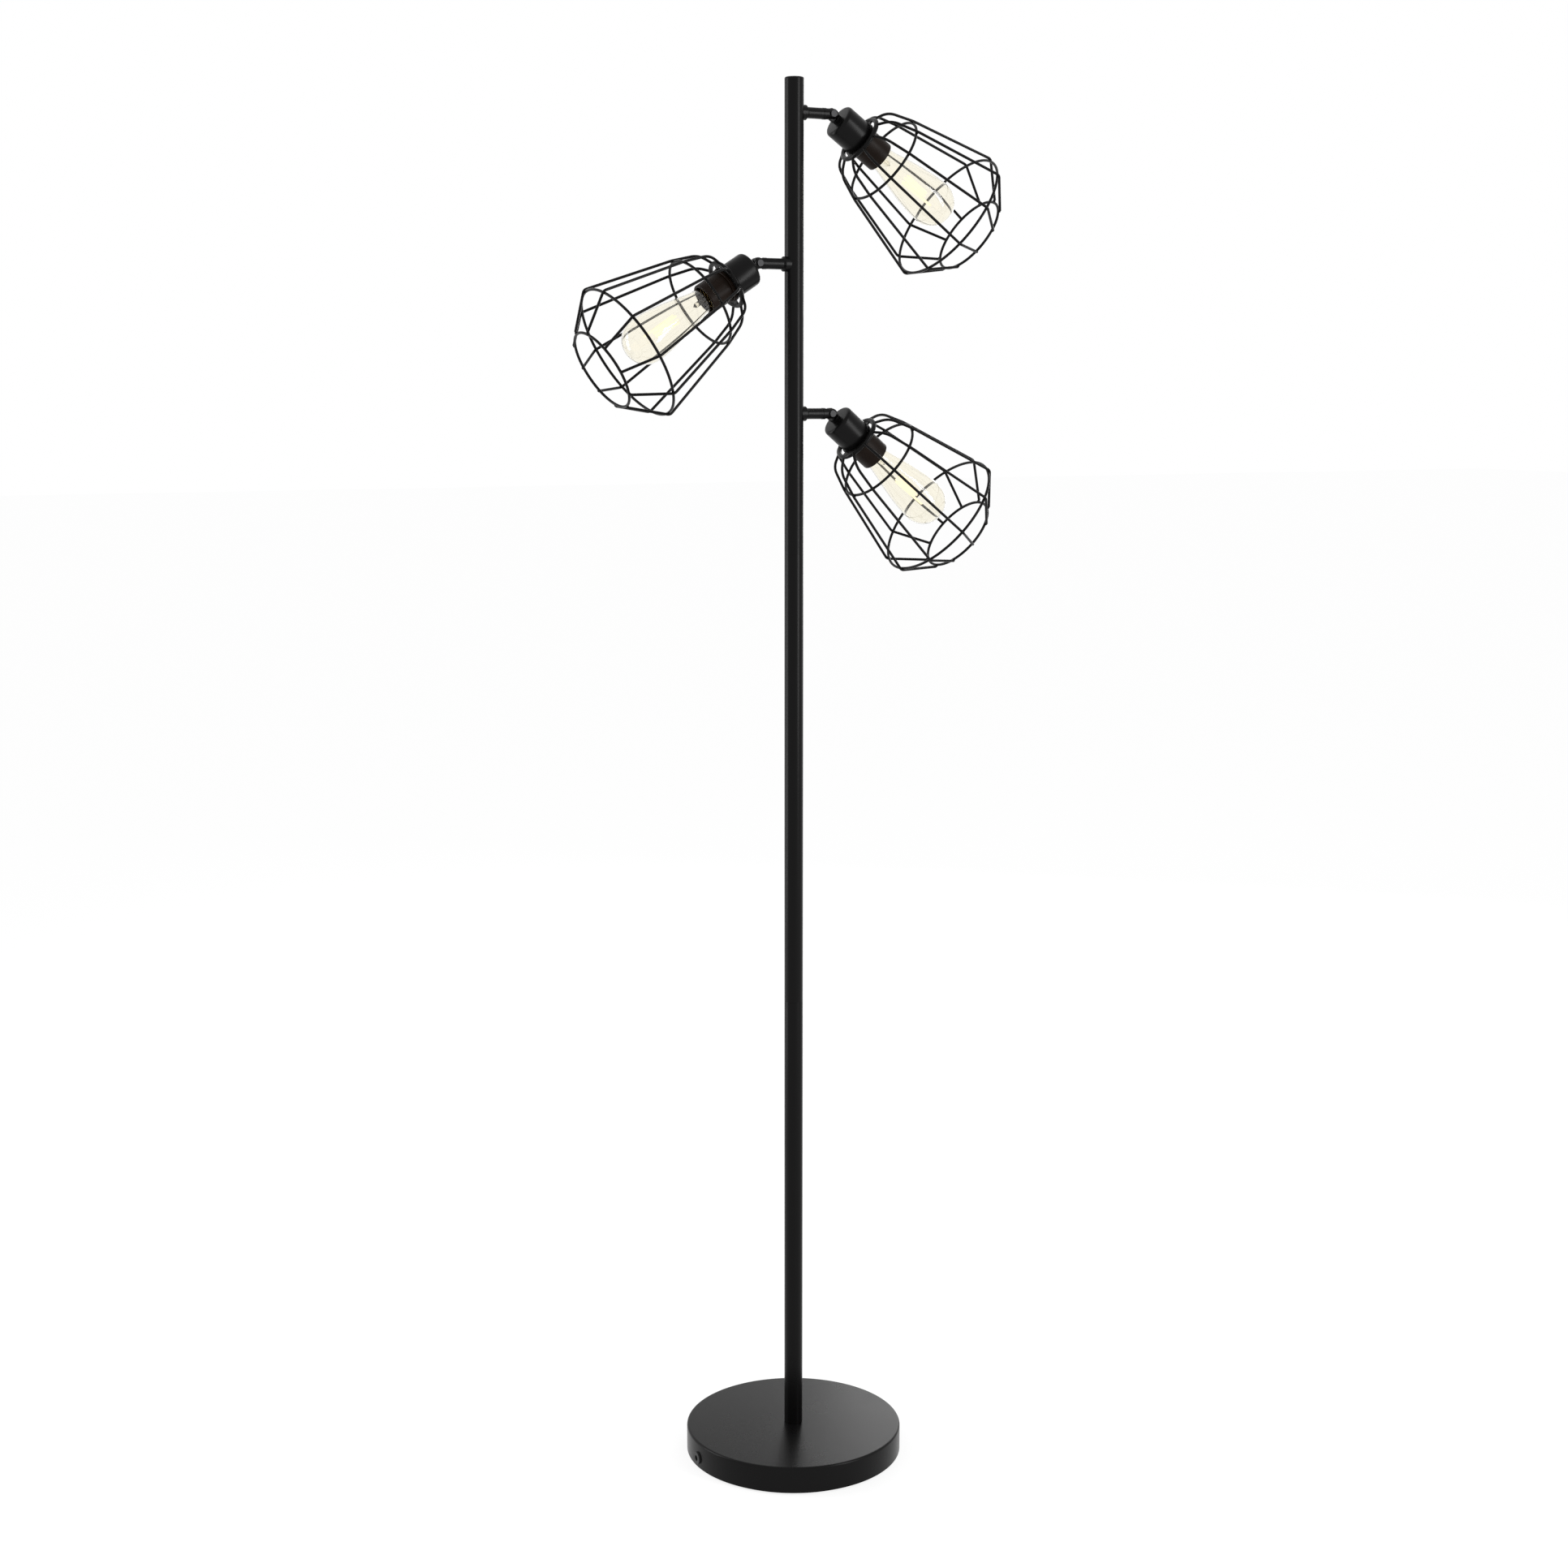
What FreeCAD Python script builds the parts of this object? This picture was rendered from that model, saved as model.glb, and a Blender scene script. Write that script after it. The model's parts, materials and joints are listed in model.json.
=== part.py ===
import FreeCAD, Part
import Sketcher
import math
import os
import re

# Three-light tree floor lamp: a weighted round base, a slim sectional pole and three short arms,
# each with a swivel, a lamp holder, a bulb and a ten-rib welded wire cage.
# Millimetres, +Z up, origin on the floor under the pole, arms along X.

os.makedirs("parts", exist_ok=True)
doc = FreeCAD.newDocument("tree_lamp")
sheet = doc.addObject("Spreadsheet::Sheet", "sizes")

SIZES = {
    "base_diameter": 262,
    "base_height": 34,
    "base_edge": 2.5,
    "cover_wall": 1.5,
    "weight_clearance": 0.3,
    "pad_height": 2.5,
    "pad_inset": 5,
    "recess_diameter": 40,
    "recess_depth": 15,
    "stud_diameter": 12,
    "stud_bore": 8,
    "stud_reach": 22,
    "stud_tail": 3,
    "nut_flats": 19,
    "nut_height": 8,
    "nut_flange_diameter": 30,
    "nut_flange_height": 2,
    "slip_clearance": 0.05,
    "pole_diameter": 22,
    "pole_wall": 1.2,
    "lamp_height": 1635,
    "lower_length": 533,
    "upper_length": 531,
    "coupler_length": 50,
    "coupler_bore": 14,
    "foot_height": 25,
    "cap_height": 4,
    "cap_edge": 1.5,
    "cap_plug_length": 12,
    "cap_plug_wall": 1.5,
    "cable_diameter": 7.5,
    "cable_start": 9,
    "outlet_height": 14,
    "outlet_bore": 7,
    "outlet_diameter": 10,
    "grommet_flange": 15,
    "grommet_lip": 2,
    "grommet_tail": 4,
    "top_arm_drop": 34,
    "arm_spacing": 168,
    "arm_diameter": 12.5,
    "boss_diameter": 17,
    "boss_height": 3,
    "boss_taper": 2,
    "arm_bore": 9.4,
    "arm_reach": 36,
    "nipple_bore": 6.6,
    "nipple_inner_end": 5,
    "nipple_length": 16,
    "lock_nut_flats": 12.5,
    "swivel_pin_clearance": 0.08,
    "swivel_pin_length": 7,
    "swivel_gap": 0.2,
    "pivot_reach": 47,
    "knuckle_diameter": 13,
    "cheek_gap": 6,
    "tongue_clearance": 0.2,
    "knuckle_clearance": 0.6,
    "screw_diameter": 4,
    "screw_clearance": 0.05,
    "screw_head_diameter": 7.5,
    "screw_head_height": 2,
    "upper_tilt": 34.5,
    "middle_tilt": 31.9,
    "lower_tilt": 39.1,
    "neck_length": 11,
    "neck_diameter": 11.5,
    "neck_thread_diameter": 9.4,
    "neck_thread_length": 5,
    "cup_diameter": 40,
    "cup_length": 34,
    "cup_wall": 1.2,
    "cup_edge": 3,
    "skirt_diameter": 36,
    "skirt_bore": 30,
    "skirt_set_in": 5,
    "skirt_reach": 34,
    "core_length": 29,
    "shell_diameter": 28,
    "shell_wall": 0.5,
    "shell_length": 26,
    "bulb_cap_wall": 0.6,
    "bulb_cap_clearance": 0.1,
    "bulb_cap_length": 26,
    "bulb_button_diameter": 9,
    "bulb_button_height": 1.5,
    "plate_thickness": 2,
    "plate_clearance": 0.15,
    "bead_diameter": 5.5,
    "bead_circle": 54,
    "vent_inner": 42,
    "vent_outer": 49,
    "vent_bridge": 6,
    "shade_ring_diameter": 41,
    "shade_ring_height": 4,
    "rib_count": 10,
    "upper_roll": 14.5,
    "middle_roll": 14.4,
    "lower_roll": 33.4,
    "wire_diameter": 3.2,
    "weld_depth": 0.3,
    "rib_root_circle": 57,
    "rib_turn_circle": 88,
    "rib_turn_height": 8,
    "rib_turn_radius": 24,
    "shoulder_circle": 111,
    "shoulder_height": 39,
    "shoulder_radius": 60,
    "belly_circle": 165,
    "belly_height": 144.5,
    "belly_radius": 6,
    "mouth_circle": 100,
    "mouth_height": 180.5,
    "glass_diameter": 54,
    "glass_wall": 0.8,
    "glass_neck_diameter": 25,
    "glass_throat_diameter": 28,
    "glass_set_in": 4,
    "glass_flare": 70,
    "glass_reach": 112,
    "stem_diameter": 7,
    "stem_length": 45,
    "support_diameter": 2,
    "filament_length": 75,
    "filament_circle": 15,
    "filament_count": 8,
    "filament_wire": 1.2,
    "spider_height": 1.5,
}
for row, (alias, value) in enumerate(SIZES.items(), start=1):
    sheet.set(f"A{row}", alias)
    sheet.set(f"B{row}", str(value))
    sheet.setAlias(f"B{row}", alias)
doc.recompute()

subparts = []


def size(expression):
    """The present value of an expression written on the sheet's aliases."""
    return float(sheet.evalExpression(bound(expression)))


def bound(expression):
    """The same expression with each alias written as a cell of the sheet."""
    return re.sub(r"[a-z]\w*", lambda word: cell(word.group()), str(expression))


def cell(word):
    return f"sizes.{word}" if word in SIZES else word


def bind(obj, **properties):
    for name, expression in properties.items():
        obj.setExpression(name, bound(expression))
    return obj


def finish(obj, label, placement=None):
    """Name a finished sub-part and put it in its place."""
    obj.Label = label
    if placement is not None:
        obj.Placement = placement.multiply(obj.Placement)
    subparts.append(obj)
    return obj


def origin_plane(body, role):
    return next(f for f in body.Origin.OriginFeatures if f.Role == role)


def turned(name, outline):
    """A body turned about Z from points (radius, height); a third item "dome" makes the stretch
    that leads to that point an arc centred on the axis."""
    body = doc.addObject("PartDesign::Body", name)
    sketch = body.newObject("Sketcher::SketchObject", name + "_profile")
    sketch.AttachmentSupport = (origin_plane(body, "XZ_Plane"), [""])
    sketch.MapMode = "FlatFace"
    spots = [FreeCAD.Vector(size(p[0]), size(p[1]), 0) for p in outline]
    ends = []
    for index, point in enumerate(outline):
        before, here = spots[index - 1], spots[index]
        if len(point) < 3:
            geometry = sketch.addGeometry(Part.LineSegment(before, here), False)
            ends.append((geometry, 1, 2))
            continue
        rim = max(before, here, key=lambda spot: spot.x)
        centre = FreeCAD.Vector(0, rim.y, 0)
        circle = Part.Circle(centre, FreeCAD.Vector(0, 0, 1), rim.x)
        geometry = sketch.addGeometry(Part.ArcOfCircle(circle, 0, math.pi / 2), False)
        sketch.addConstraint(Sketcher.Constraint("PointOnObject", geometry, 3, -2))
        ends.append((geometry, 1, 2) if before is rim else (geometry, 2, 1))
    close_outline(sketch, outline, ends)
    revolution = body.newObject("PartDesign::Revolution", name + "_turned")
    revolution.Profile = sketch
    revolution.ReferenceAxis = (sketch, ["V_Axis"])
    revolution.Angle = 360
    return body


def close_outline(sketch, outline, ends):
    """Join the stretches of an outline and hold each corner at its radius and height."""
    for index, (geometry, _, last) in enumerate(ends):
        following, first, _ = ends[(index + 1) % len(ends)]
        sketch.addConstraint(Sketcher.Constraint("Coincident", geometry, last, following, first))
        radius, height = outline[index][0], outline[index][1]
        if size(radius) == 0:
            sketch.addConstraint(Sketcher.Constraint("PointOnObject", geometry, last, -2))
        else:
            hold(sketch, "DistanceX", geometry, last, radius)
        hold(sketch, "DistanceY", geometry, last, height)


def hold(sketch, kind, geometry, corner, expression):
    value = size(expression)
    number = sketch.addConstraint(Sketcher.Constraint(kind, -1, 1, geometry, corner, value))
    sketch.setExpression(f"Constraints[{number}]", bound(expression))


def cylinder(name, radius, height, base=(0, 0, 0), axis=(0, 0, 1)):
    """A cylinder whose foot is at base, given as three expressions, pointing along axis."""
    made = bind(doc.addObject("Part::Cylinder", name), Radius=radius, Height=height)
    place(made, base, FreeCAD.Rotation(FreeCAD.Vector(0, 0, 1), FreeCAD.Vector(*axis)))
    return made


def block(name, lengths, base):
    made = doc.addObject("Part::Box", name)
    bind(made, Length=lengths[0], Width=lengths[1], Height=lengths[2])
    place(made, base, FreeCAD.Rotation())
    return made


def hex_prism(name, flats, height, base=(0, 0, 0), axis=(0, 0, 1)):
    made = bind(doc.addObject("Part::Prism", name), Circumradius=f"{flats} / sqrt(3)", Height=height)
    made.Polygon = 6
    place(made, base, FreeCAD.Rotation(FreeCAD.Vector(0, 0, 1), FreeCAD.Vector(*axis)))
    return made


def place(made, base, rotation):
    made.Placement = FreeCAD.Placement(FreeCAD.Vector(0, 0, 0), rotation)
    for letter, expression in zip("xyz", base):
        made.setExpression(f"Placement.Base.{letter}", bound(expression))


def cut(name, base, tool):
    made = doc.addObject("Part::Cut", name)
    made.Base, made.Tool = base, tool
    return made


def common(name, base, tool):
    made = doc.addObject("Part::Common", name)
    made.Base, made.Tool = base, tool
    return made


def joined(name, pieces):
    made = doc.addObject("Part::MultiFuse", name)
    made.Shapes = pieces
    return made


def group(name, pieces):
    """Like pieces that share one node as separate solids."""
    made = doc.addObject("Part::Compound", name)
    made.Links = pieces
    return made


BASE_R = "base_diameter / 2"
POLE_R = "pole_diameter / 2"
POLE_IN = "( pole_diameter / 2 - pole_wall )"
STUD_HOLE = "( stud_diameter / 2 + slip_clearance )"
WEIGHT_TOP = "base_height - cover_wall"
RECESS_TOP = "pad_height + recess_depth"
OUTLET_START = f"-1 * {BASE_R} - grommet_lip"
OUTLET_LENGTH = "grommet_lip + cover_wall + grommet_tail"
POLE_TOP = "( lamp_height - cap_height )"
FIRST_SEAM = "( base_height + lower_length )"
SECOND_SEAM = f"( {POLE_TOP} - upper_length )"


def make_base():
    inner = "( base_diameter / 2 - cover_wall )"
    shell = turned("cover_shell", [
        (STUD_HOLE, WEIGHT_TOP),
        (inner, WEIGHT_TOP),
        (inner, "pad_height"),
        (BASE_R, "pad_height"),
        (BASE_R, "base_height - base_edge"),
        (f"{BASE_R} - base_edge", "base_height"),
        (STUD_HOLE, "base_height"),
    ])
    outlet = cylinder("cover_outlet", "outlet_diameter / 2 + slip_clearance", OUTLET_LENGTH,
                      (OUTLET_START, 0, "outlet_height"), (1, 0, 0))
    finish(cut("cover_bored", shell, outlet), "base_cover")

    rim = f"{inner} - weight_clearance"
    disc = turned("weight_disc", [
        (STUD_HOLE, RECESS_TOP),
        ("recess_diameter / 2", RECESS_TOP),
        ("recess_diameter / 2", "pad_height"),
        (rim, "pad_height"),
        (rim, WEIGHT_TOP),
        (STUD_HOLE, WEIGHT_TOP),
    ])
    channel = cylinder("weight_channel", "outlet_diameter / 2 + slip_clearance", BASE_R,
                       (f"-1 * {BASE_R}", 0, "outlet_height"), (1, 0, 0))
    finish(cut("weight_bored", disc, channel), "base_weight")

    finish(turned("pad_disc", [
        (0, 0),
        (f"{BASE_R} - pad_inset", 0),
        (f"{BASE_R} - pad_inset", "pad_height"),
        (0, "pad_height"),
    ]), "base_pad")

    bush = cylinder("grommet_bush", "outlet_diameter / 2", OUTLET_LENGTH,
                    (OUTLET_START, 0, "outlet_height"), (1, 0, 0))
    flange = cylinder("grommet_flange_disc", "grommet_flange / 2", "grommet_lip",
                      (OUTLET_START, 0, "outlet_height"), (1, 0, 0))
    bore = cylinder("grommet_bore", "outlet_bore / 2", OUTLET_LENGTH,
                    (OUTLET_START, 0, "outlet_height"), (1, 0, 0))
    seat = cylinder("grommet_seat", BASE_R, "base_height")
    outside = cut("grommet_flange_fitted", flange, seat)
    finish(cut("grommet_bored", joined("grommet_body", [bush, outside]), bore), "cord_grommet")


def make_stud():
    nut_top = RECESS_TOP
    stud_foot = f"{nut_top} - nut_height - nut_flange_height - stud_tail"
    stud_length = f"base_height + stud_reach - ( {stud_foot} )"
    stud = cylinder("stud_rod", "stud_diameter / 2", stud_length, (0, 0, stud_foot))
    bore = cylinder("stud_hole", "stud_bore / 2", stud_length, (0, 0, stud_foot))
    finish(cut("stud_tube", stud, bore), "pole_stud")

    flange = cylinder("nut_flange_disc", "nut_flange_diameter / 2", "nut_flange_height",
                      (0, 0, f"{nut_top} - nut_flange_height"))
    hexagon = hex_prism("nut_hexagon", "nut_flats", "nut_height",
                        (0, 0, f"{nut_top} - nut_flange_height - nut_height"))
    hole = cylinder("nut_hole", STUD_HOLE, "nut_height + nut_flange_height",
                    (0, 0, f"{nut_top} - nut_flange_height - nut_height"))
    finish(cut("nut_tapped", joined("nut_blank", [flange, hexagon]), hole), "stud_nut")


def tube(name, outer, inner, foot, top):
    return turned(name, [(inner, foot), (outer, foot), (outer, top), (inner, top)])


def arm_holes(name):
    tools = []
    for head in HEADS:
        tools.append(cylinder(f"{name}_{head.name}", "arm_bore / 2", "pole_diameter",
                              (0, 0, head.height), (head.side, 0, 0)))
    return joined(name, tools)


def make_pole():
    finish(tube("lower_tube", POLE_R, POLE_IN, "base_height", FIRST_SEAM), "pole_lower")
    finish(tube("middle_tube", POLE_R, POLE_IN, FIRST_SEAM, SECOND_SEAM), "pole_middle")
    blank = tube("upper_tube", POLE_R, POLE_IN, SECOND_SEAM, POLE_TOP)
    finish(cut("upper_tube_drilled", blank, arm_holes("upper_holes")), "pole_upper")

    fitted = f"{POLE_IN} - slip_clearance"
    couplers = []
    for name, joint in (("low_coupler", FIRST_SEAM), ("high_coupler", SECOND_SEAM)):
        couplers.append(tube(name, fitted, "coupler_bore / 2",
                             f"{joint} - coupler_length / 2", f"{joint} + coupler_length / 2"))
    finish(group("coupler_pair", couplers), "pole_couplers")

    finish(tube("foot_bush", fitted, STUD_HOLE, "base_height", "base_height + foot_height"), "pole_foot")
    plug = f"{POLE_TOP} - cap_plug_length"
    hollow = f"{fitted} - cap_plug_wall"
    finish(turned("cap_plug", [
        (hollow, plug),
        (fitted, plug),
        (fitted, POLE_TOP),
        (POLE_R, POLE_TOP),
        (POLE_R, "lamp_height - cap_edge"),
        (f"{POLE_R} - cap_edge", "lamp_height"),
        (0, "lamp_height"),
        (0, POLE_TOP),
        (hollow, POLE_TOP),
    ]), "pole_cap")
    cable_length = f"{POLE_TOP} - top_arm_drop - cable_start"
    finish(cylinder("cable_core", "cable_diameter / 2", cable_length, (0, 0, "cable_start")), "supply_cable")


class Head:
    """One light: its side of the pole, its arm height and its rest tilt below the horizontal."""

    def __init__(self, name, side, level):
        self.name = name
        self.side = side
        self.height = f"( {POLE_TOP} - top_arm_drop - {level} * arm_spacing )"
        self.tilt = f"{name}_tilt"

    def along(self, expression):
        return f"{self.side} * ( {expression} )"

    def label(self, piece):
        return f"{self.name}_{piece}"

    def arm_place(self):
        """Local Z runs out along the arm from the pole's axis."""
        turn = FreeCAD.Rotation(FreeCAD.Vector(0, 1, 0), 90 * self.side)
        return FreeCAD.Placement(FreeCAD.Vector(0, 0, size(self.height)), turn)

    def head_place(self):
        """Local Z runs along the lamp holder from the tilt pivot."""
        turn = FreeCAD.Rotation(FreeCAD.Vector(0, 1, 0), self.side * (90 + size(self.tilt)))
        pivot = FreeCAD.Vector(self.side * size("pivot_reach"), 0, size(self.height))
        return FreeCAD.Placement(pivot, turn)


HEADS = [Head("upper", 1, 0), Head("middle", -1, 1), Head("lower", 1, 2)]


def pole_bar(name, radius):
    """The pole's cylinder as an arm sees it, across the arm's root."""
    return cylinder(name, radius, "pole_diameter * 2", ("-1 * pole_diameter", 0, 0), (1, 0, 0))


def make_arm(head):
    name = head.label("arm")
    boss_top = f"( {POLE_R} + boss_height )"
    blank = turned(name + "_blank", [
        ("arm_bore / 2", 0),
        ("boss_diameter / 2", 0),
        ("boss_diameter / 2", boss_top),
        ("arm_diameter / 2", f"{boss_top} + boss_taper"),
        ("arm_diameter / 2", "arm_reach"),
        ("arm_bore / 2", "arm_reach"),
    ])
    pole = pole_bar(name + "_pole", f"{POLE_R} + slip_clearance")
    finish(cut(name + "_coped", blank, pole), name, head.arm_place())


def nipple(head):
    name = head.label("nipple")
    made = tube(name, "arm_bore / 2 - slip_clearance", "nipple_bore / 2", "nipple_inner_end",
                "nipple_inner_end + nipple_length")
    made.Placement = head.arm_place()
    return made


def lock_nut(head):
    name = head.label("lock_nut")
    blank = hex_prism(name + "_blank", "lock_nut_flats", "pole_diameter / 2", (0, 0, "nipple_inner_end"))
    fitted = common(name + "_fitted", blank, pole_bar(name + "_wall", f"{POLE_IN} - slip_clearance"))
    made = cut(name, fitted, cylinder(name + "_hole", "arm_bore / 2", "pole_diameter"))
    made.Placement = head.arm_place()
    return made


CHEEK_OUT = "knuckle_diameter / 2"
FORK_FOOT = "( arm_reach + swivel_gap )"
SLOT_ROOT = "( pivot_reach - knuckle_diameter / 2 - knuckle_clearance )"


def make_swivel(head):
    name = head.label("swivel_fork")
    pin = cylinder(name + "_pin", "arm_bore / 2 - swivel_pin_clearance", "swivel_pin_length + swivel_gap",
                   (0, 0, "arm_reach - swivel_pin_length"))
    disc = cylinder(name + "_disc", "knuckle_diameter / 2", f"pivot_reach - {FORK_FOOT}", (0, 0, FORK_FOOT))
    round_end = cylinder(name + "_round", "knuckle_diameter / 2", "knuckle_diameter",
                         (0, f"-1 * {CHEEK_OUT}", "pivot_reach"), (0, 1, 0))
    slot = block(name + "_slot", ("knuckle_diameter * 2", "cheek_gap", "knuckle_diameter * 2"),
                 ("-1 * knuckle_diameter", "-1 * cheek_gap / 2", SLOT_ROOT))
    hole = cylinder(name + "_hole", "screw_diameter / 2 + slip_clearance", "knuckle_diameter * 2",
                    (0, "-1 * knuckle_diameter", "pivot_reach"), (0, 1, 0))
    bar = cylinder(name + "_bar", "knuckle_diameter / 2", "knuckle_diameter * 2", (0, 0, FORK_FOOT))
    rounded = common(name + "_cheeks", round_end, bar)
    blank = joined(name + "_blank", [pin, disc, rounded])
    finish(cut(name + "_drilled", cut(name + "_slotted", blank, slot), hole), name, head.arm_place())

    name = head.label("swivel_screw")
    shank = cylinder(name + "_shank", "screw_diameter / 2", "knuckle_diameter",
                     (0, f"-1 * {CHEEK_OUT}", "pivot_reach"), (0, 1, 0))
    knob = cylinder(name + "_head", "screw_head_diameter / 2", "screw_head_height",
                    (0, f"-1 * {CHEEK_OUT} - screw_head_height", "pivot_reach"), (0, 1, 0))
    finish(joined(name + "_blank", [shank, knob]), name, head.arm_place())


NECK_TOP = "neck_length"


def make_tongue(head):
    name = head.label("swivel_tongue")
    thick = "( cheek_gap - 2 * tongue_clearance )"
    eye = cylinder(name + "_eye", "knuckle_diameter / 2", thick, (0, f"-1 * {thick} / 2", 0), (0, 1, 0))
    web = block(name + "_web", ("knuckle_diameter", thick, "knuckle_diameter / 2 + knuckle_clearance * 2"),
                ("-1 * knuckle_diameter / 2", f"-1 * {thick} / 2", 0))
    shaft = cylinder(name + "_shaft", "neck_diameter / 2",
                     "neck_length - knuckle_diameter / 2 - knuckle_clearance * 2",
                     (0, 0, "knuckle_diameter / 2 + knuckle_clearance * 2"))
    thread = cylinder(name + "_thread", "neck_thread_diameter / 2", "neck_thread_length", (0, 0, NECK_TOP))
    rim = cylinder(name + "_rim", "knuckle_diameter / 2", "knuckle_diameter * 2",
                   (0, 0, "-1 * knuckle_diameter"))
    flat = common(name + "_flat", joined(name + "_plate", [eye, web]), rim)
    hole = cylinder(name + "_hole", "screw_diameter / 2 + screw_clearance", "knuckle_diameter",
                    (0, "-1 * knuckle_diameter / 2", 0), (0, 1, 0))
    finish(cut(name + "_drilled", joined(name + "_blank", [flat, shaft, thread]), hole), name,
           head.head_place())


COLLAR = "( neck_length + cup_length )"
SKIRT_FOOT = "( neck_length + cup_wall + skirt_set_in )"
SKIRT_TOP = "( neck_length + cup_length + skirt_reach )"
SHELL_FOOT = "( neck_length + cup_wall + skirt_set_in + core_length )"
SHELL_IN = "( shell_diameter / 2 - shell_wall )"
CAP_FOOT = f"( {SHELL_FOOT} + bulb_button_height + slip_clearance )"
CAP_OUT = f"( {SHELL_IN} - bulb_cap_clearance )"
CAP_TOP = f"( {CAP_FOOT} + bulb_cap_length )"


def make_holder(head):
    spot = head.head_place()
    hole = "( neck_thread_diameter / 2 + slip_clearance )"
    cup_out = "cup_diameter / 2"
    cup_in = "( cup_diameter / 2 - cup_wall )"
    finish(turned(head.label("cup_shell"), [
        (hole, NECK_TOP),
        (f"{cup_out} - cup_edge", NECK_TOP),
        (cup_out, f"{NECK_TOP} + cup_edge"),
        (cup_out, COLLAR),
        (cup_in, COLLAR),
        (cup_in, f"{NECK_TOP} + cup_edge + cup_wall / 2"),
        (f"{cup_in} - cup_edge", f"{NECK_TOP} + cup_wall"),
        (hole, f"{NECK_TOP} + cup_wall"),
    ]), head.label("socket_cup"), spot)

    foot = SKIRT_FOOT
    back = f"( {NECK_TOP} + cup_wall )"
    finish(turned(head.label("core_block"), [
        (hole, back),
        ("skirt_bore / 2 - slip_clearance - cup_edge", back),
        ("skirt_bore / 2 - slip_clearance", foot),
        ("skirt_bore / 2 - slip_clearance", SHELL_FOOT),
        (0, SHELL_FOOT),
        (0, f"{NECK_TOP} + neck_thread_length + slip_clearance"),
        (hole, f"{NECK_TOP} + neck_thread_length + slip_clearance"),
    ]), head.label("socket_core"), spot)
    finish(tube(head.label("skirt_sleeve"), "skirt_diameter / 2", "skirt_bore / 2", foot, SKIRT_TOP),
           head.label("socket_skirt"), spot)
    finish(tube(head.label("shell_sleeve"), "shell_diameter / 2", SHELL_IN, SHELL_FOOT,
                f"{SHELL_FOOT} + shell_length"), head.label("screw_shell"), spot)
    plate_top = f"( {COLLAR} + plate_thickness )"
    finish(tube(head.label("clamp_ring"), "shade_ring_diameter / 2 - slip_clearance",
                "skirt_diameter / 2 + slip_clearance", plate_top, f"{plate_top} + shade_ring_height"),
           head.label("shade_ring"), spot)


def make_bulb(head):
    spot = head.head_place()
    inside = f"( {CAP_OUT} - bulb_cap_wall )"
    floor = f"( {CAP_FOOT} + bulb_cap_wall )"
    button = "bulb_button_diameter / 2"
    finish(turned(head.label("cap_can"), [
        (0, f"{CAP_FOOT} - bulb_button_height"),
        (button, f"{CAP_FOOT} - bulb_button_height"),
        (button, CAP_FOOT),
        (CAP_OUT, f"{CAP_FOOT} + bulb_button_height"),
        (CAP_OUT, CAP_TOP),
        (inside, CAP_TOP),
        (inside, f"{floor} + bulb_button_height"),
        (button, floor),
        (0, floor),
    ]), head.label("bulb_cap"), spot)

    neck = f"( {CAP_TOP} - glass_set_in )"
    throat = f"( {SKIRT_TOP} + slip_clearance )"
    flare = f"( {throat} + glass_flare )"
    tip = f"( {SKIRT_TOP} + glass_reach )"
    dome = f"( {tip} - glass_diameter / 2 )"
    neck_out = "( glass_neck_diameter / 2 )"
    finish(turned(head.label("glass_envelope"), [
        (f"{neck_out} - glass_wall", neck),
        (neck_out, neck),
        (neck_out, CAP_TOP),
        ("glass_throat_diameter / 2", throat),
        ("glass_diameter / 2", flare),
        ("glass_diameter / 2", dome),
        (0, tip, "dome"),
        (0, f"{tip} - glass_wall"),
        ("glass_diameter / 2 - glass_wall", dome, "dome"),
        ("glass_diameter / 2 - glass_wall", f"{flare} + glass_wall / 3"),
        ("glass_throat_diameter / 2 - glass_wall", f"{throat} + glass_wall / 3"),
        (f"{neck_out} - glass_wall", f"{CAP_TOP} + glass_wall / 3"),
    ]), head.label("bulb_glass"), spot)

    name = head.label("filament")
    stem_top = f"( {floor} + stem_length )"
    crown = f"( {stem_top} + filament_length )"
    pieces = [
        cylinder(name + "_stem", "stem_diameter / 2", "stem_length", (0, 0, floor)),
        cylinder(name + "_rod", "support_diameter / 2", "filament_length", (0, 0, stem_top)),
        cylinder(name + "_low_spider", "filament_circle / 2", "spider_height",
                 (0, 0, f"{stem_top} - spider_height")),
        cylinder(name + "_high_spider", "filament_circle / 2", "spider_height",
                 (0, 0, f"{crown} - spider_height")),
    ]
    count = int(size("filament_count"))
    for number in range(count):
        angle = f"{number} * 360 / filament_count"
        pieces.append(cylinder(f"{name}_wire{number}", "filament_wire / 2", "filament_length", (
            f"( filament_circle / 2 - filament_wire ) * cos({angle})",
            f"( filament_circle / 2 - filament_wire ) * sin({angle})",
            f"{stem_top} - spider_height")))
    finish(joined(name + "_mount", pieces), head.label("bulb_filament"), spot)


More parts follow.
